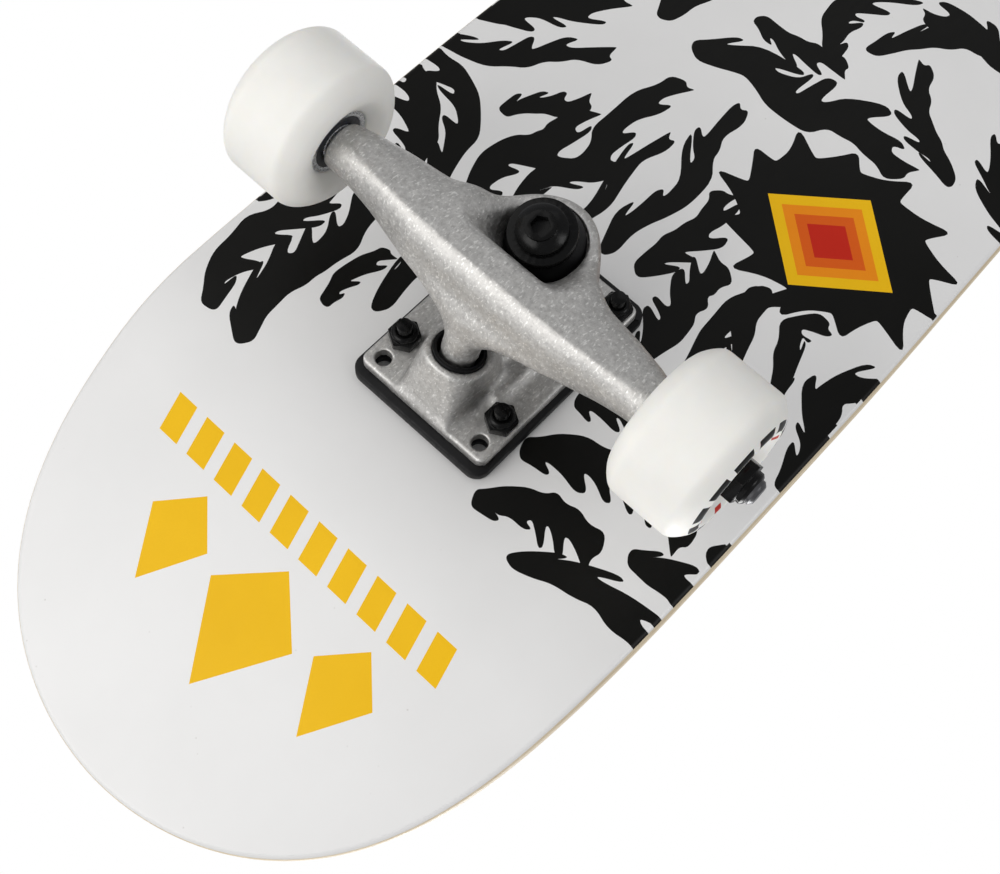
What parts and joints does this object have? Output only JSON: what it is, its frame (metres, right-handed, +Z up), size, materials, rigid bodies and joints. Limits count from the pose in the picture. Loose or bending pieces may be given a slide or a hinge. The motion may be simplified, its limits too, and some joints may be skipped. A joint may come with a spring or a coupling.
{
  "type": "skateboard",
  "caption": "Double-kick street skateboard with two sprung steering trucks, riser pads, ball bearings and white wheels, standing on its wheels.",
  "frame": {"origin": "on the ground under the middle of the board's overall length, with the board standing on its wheels", "axes": "+X towards the nose, +Y to the left, +Z up; the wheels turn about Y"},
  "size_m": [0.7798, 0.1958, 0.1274],
  "materials": {
    "maple": "seven-ply maple with a glossy white printed underside",
    "grip": "coarse black grit",
    "cast_aluminium": "tumbled raw casting",
    "riser": "satin",
    "urethane_black": "satin",
    "urethane_white": "satin cast urethane",
    "black_steel": "black oxide, semi-gloss",
    "axle_steel": "dark plated",
    "bright_steel": "ground",
    "shield_black": "satin rubber seal"
  },
  "bodies": {
    "board": {"deck": "maple", "grip_tape": "grip", "front_riser_pad": "riser", "front_baseplate": "cast_aluminium", "front_pivot_cup": "urethane_black", "front_kingpin": "black_steel", "front_kingpin_nut": "black_steel", "front_board_bushing": "urethane_black", "front_road_bushing": "urethane_black", "front_board_washer": "black_steel", "front_road_washer": "black_steel", "front_mounting_bolts": "black_steel", "front_mounting_nuts": "black_steel", "rear_riser_pad": "riser", "rear_baseplate": "cast_aluminium", "rear_pivot_cup": "urethane_black", "rear_kingpin": "black_steel", "rear_kingpin_nut": "black_steel", "rear_board_bushing": "urethane_black", "rear_road_bushing": "urethane_black", "rear_board_washer": "black_steel", "rear_road_washer": "black_steel", "rear_mounting_bolts": "black_steel", "rear_mounting_nuts": "black_steel"},
    "front_hanger_body": {"front_hanger": "cast_aluminium", "front_axle": "axle_steel", "front_axle_nuts": "black_steel", "front_speed_washers": "bright_steel", "front_bearing_spacers": "bright_steel", "front_left_inner_races": "bright_steel", "front_right_inner_races": "bright_steel"},
    "rear_hanger_body": {"rear_hanger": "cast_aluminium", "rear_axle": "axle_steel", "rear_axle_nuts": "black_steel", "rear_speed_washers": "bright_steel", "rear_bearing_spacers": "bright_steel", "rear_left_inner_races": "bright_steel", "rear_right_inner_races": "bright_steel"},
    "front_left_wheel_body": {"front_left_wheel": "urethane_white", "front_left_outer_races": "bright_steel", "front_left_bearing_shields": "shield_black"},
    "front_left_balls_body": {"front_left_bearing_balls": "bright_steel"},
    "front_right_wheel_body": {"front_right_wheel": "urethane_white", "front_right_outer_races": "bright_steel", "front_right_bearing_shields": "shield_black"},
    "front_right_balls_body": {"front_right_bearing_balls": "bright_steel"},
    "rear_left_wheel_body": {"rear_left_wheel": "urethane_white", "rear_left_outer_races": "bright_steel", "rear_left_bearing_shields": "shield_black"},
    "rear_left_balls_body": {"rear_left_bearing_balls": "bright_steel"},
    "rear_right_wheel_body": {"rear_right_wheel": "urethane_white", "rear_right_outer_races": "bright_steel", "rear_right_bearing_shields": "shield_black"},
    "rear_right_balls_body": {"rear_right_bearing_balls": "bright_steel"}
  },
  "joints": [
    {"name": "front_steer", "type": "hinge", "parent": "board", "child": "front_hanger_body", "pos_m": [0.2306, 0, 0.0587], "axis": [0.9056, 0, 0.424], "range_deg": [-10, 10], "stiffness_Nm_per_rad": 60, "deforming": ["front_board_bushing", "front_road_bushing"]},
    {"name": "rear_steer", "type": "hinge", "parent": "board", "child": "rear_hanger_body", "pos_m": [-0.2366, 0, 0.0587], "axis": [-0.9056, 0, 0.424], "range_deg": [-10, 10], "stiffness_Nm_per_rad": 60, "deforming": ["rear_board_bushing", "rear_road_bushing"]},
    {"name": "front_left_spin", "type": "hinge", "parent": "front_hanger_body", "child": "front_left_wheel_body", "pos_m": [0.2156, 0.0754, 0.0251], "axis": [0, 1, 0], "continuous": true},
    {"name": "front_left_balls_spin", "type": "hinge", "parent": "front_hanger_body", "child": "front_left_balls_body", "pos_m": [0.2156, 0.0754, 0.0251], "axis": [0, 1, 0], "continuous": true},
    {"name": "front_right_spin", "type": "hinge", "parent": "front_hanger_body", "child": "front_right_wheel_body", "pos_m": [0.2156, -0.0754, 0.0251], "axis": [0, 1, 0], "continuous": true},
    {"name": "front_right_balls_spin", "type": "hinge", "parent": "front_hanger_body", "child": "front_right_balls_body", "pos_m": [0.2156, -0.0754, 0.0251], "axis": [0, 1, 0], "continuous": true},
    {"name": "rear_left_spin", "type": "hinge", "parent": "rear_hanger_body", "child": "rear_left_wheel_body", "pos_m": [-0.2216, 0.0754, 0.0251], "axis": [0, 1, 0], "continuous": true},
    {"name": "rear_left_balls_spin", "type": "hinge", "parent": "rear_hanger_body", "child": "rear_left_balls_body", "pos_m": [-0.2216, 0.0754, 0.0251], "axis": [0, 1, 0], "continuous": true},
    {"name": "rear_right_spin", "type": "hinge", "parent": "rear_hanger_body", "child": "rear_right_wheel_body", "pos_m": [-0.2216, -0.0754, 0.0251], "axis": [0, 1, 0], "continuous": true},
    {"name": "rear_right_balls_spin", "type": "hinge", "parent": "rear_hanger_body", "child": "rear_right_balls_body", "pos_m": [-0.2216, -0.0754, 0.0251], "axis": [0, 1, 0], "continuous": true}
  ],
  "couplings": [
    {"joint": "front_left_balls_spin", "follows": "front_left_spin", "ratio": 0.625},
    {"joint": "front_right_balls_spin", "follows": "front_right_spin", "ratio": 0.625},
    {"joint": "rear_left_balls_spin", "follows": "rear_left_spin", "ratio": 0.625},
    {"joint": "rear_right_balls_spin", "follows": "rear_right_spin", "ratio": 0.625}
  ]
}
